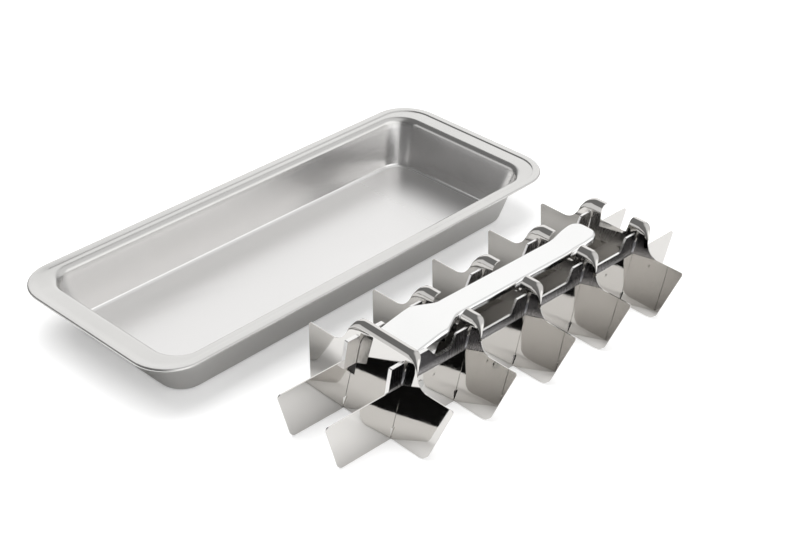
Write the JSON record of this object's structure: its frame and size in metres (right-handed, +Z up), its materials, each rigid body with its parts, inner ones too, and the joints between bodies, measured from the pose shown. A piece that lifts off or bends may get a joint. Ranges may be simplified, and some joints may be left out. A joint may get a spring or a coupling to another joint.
{
  "type": "lever ice cube tray",
  "caption": "Pressed metal ice tray: an open tapered pan beside its divider grid, whose lever slides two strips that rock the cross dividers to loosen the cubes.",
  "frame": {"origin": "middle of the underside of the pan, on the table", "axes": "+Z up; +X along the divider grid, towards the free end of the lever; +Y from the grid towards the pan, which is turned about 2 degrees from +X"},
  "size_m": [0.2844, 0.2259, 0.0443],
  "materials": {
    "pressed_pan": "satin drawn stainless steel",
    "pressed_lever": "bright polished stainless steel",
    "polished_sheet": "mirror polished stainless steel",
    "slider_strip": "brushed stainless steel",
    "rivets": "bright steel"
  },
  "bodies": {
    "pan": {"pan": "pressed_pan"},
    "grid": {"divider_plate_left": "polished_sheet", "divider_plate_right": "polished_sheet", "pivot_rivets": "rivets"},
    "lever": {"lever": "pressed_lever"},
    "slider_left": {"slider_left": "slider_strip", "drive_stud_left": "rivets"},
    "slider_right": {"slider_right": "slider_strip", "drive_stud_right": "rivets"},
    "divider_1": {"cross_divider_1": "polished_sheet"},
    "divider_2": {"cross_divider_2": "polished_sheet"},
    "divider_3": {"cross_divider_3": "polished_sheet"},
    "divider_4": {"cross_divider_4": "polished_sheet"},
    "divider_5": {"cross_divider_5": "polished_sheet"}
  },
  "joints": [
    {"name": "grid_lift", "type": "slide", "parent": "pan", "child": "grid", "axis": [0, 0, 1], "range_m": [0, 0.12]},
    {"name": "lever_lift", "type": "hinge", "parent": "grid", "child": "lever", "pos_m": [-0.0494, -0.1182, 0.022], "axis": [0, -1, 0], "range_deg": [0, 62]},
    {"name": "slider_left_slide", "type": "slide", "parent": "grid", "child": "slider_left", "axis": [-1, 0, 0], "range_m": [0, 0.00812]},
    {"name": "slider_right_slide", "type": "slide", "parent": "grid", "child": "slider_right", "axis": [-1, 0, 0], "range_m": [0, 0.00812]},
    {"name": "divider_1_tilt", "type": "hinge", "parent": "grid", "child": "divider_1", "pos_m": [-0.06632, -0.1182, 0.0012], "axis": [0, -1, 0], "range_deg": [0, 13.92]},
    {"name": "divider_2_tilt", "type": "hinge", "parent": "grid", "child": "divider_2", "pos_m": [-0.02473, -0.1182, 0.0012], "axis": [0, -1, 0], "range_deg": [0, 13.92]},
    {"name": "divider_3_tilt", "type": "hinge", "parent": "grid", "child": "divider_3", "pos_m": [0.01688, -0.1182, 0.0012], "axis": [0, -1, 0], "range_deg": [0, 13.92]},
    {"name": "divider_4_tilt", "type": "hinge", "parent": "grid", "child": "divider_4", "pos_m": [0.05847, -0.1182, 0.0012], "axis": [0, -1, 0], "range_deg": [0, 13.92]},
    {"name": "divider_5_tilt", "type": "hinge", "parent": "grid", "child": "divider_5", "pos_m": [0.10007, -0.1182, 0.0012], "axis": [0, -1, 0], "range_deg": [0, 13.92]}
  ],
  "couplings": [
    {"joint": "slider_left_slide", "follows": "lever_lift", "m_per_rad": 0.0074854},
    {"joint": "slider_right_slide", "follows": "lever_lift", "m_per_rad": 0.0074854},
    {"joint": "divider_1_tilt", "follows": "lever_lift", "ratio": 0.22419},
    {"joint": "divider_2_tilt", "follows": "lever_lift", "ratio": 0.22419},
    {"joint": "divider_3_tilt", "follows": "lever_lift", "ratio": 0.22419},
    {"joint": "divider_4_tilt", "follows": "lever_lift", "ratio": 0.22419},
    {"joint": "divider_5_tilt", "follows": "lever_lift", "ratio": 0.22419}
  ]
}
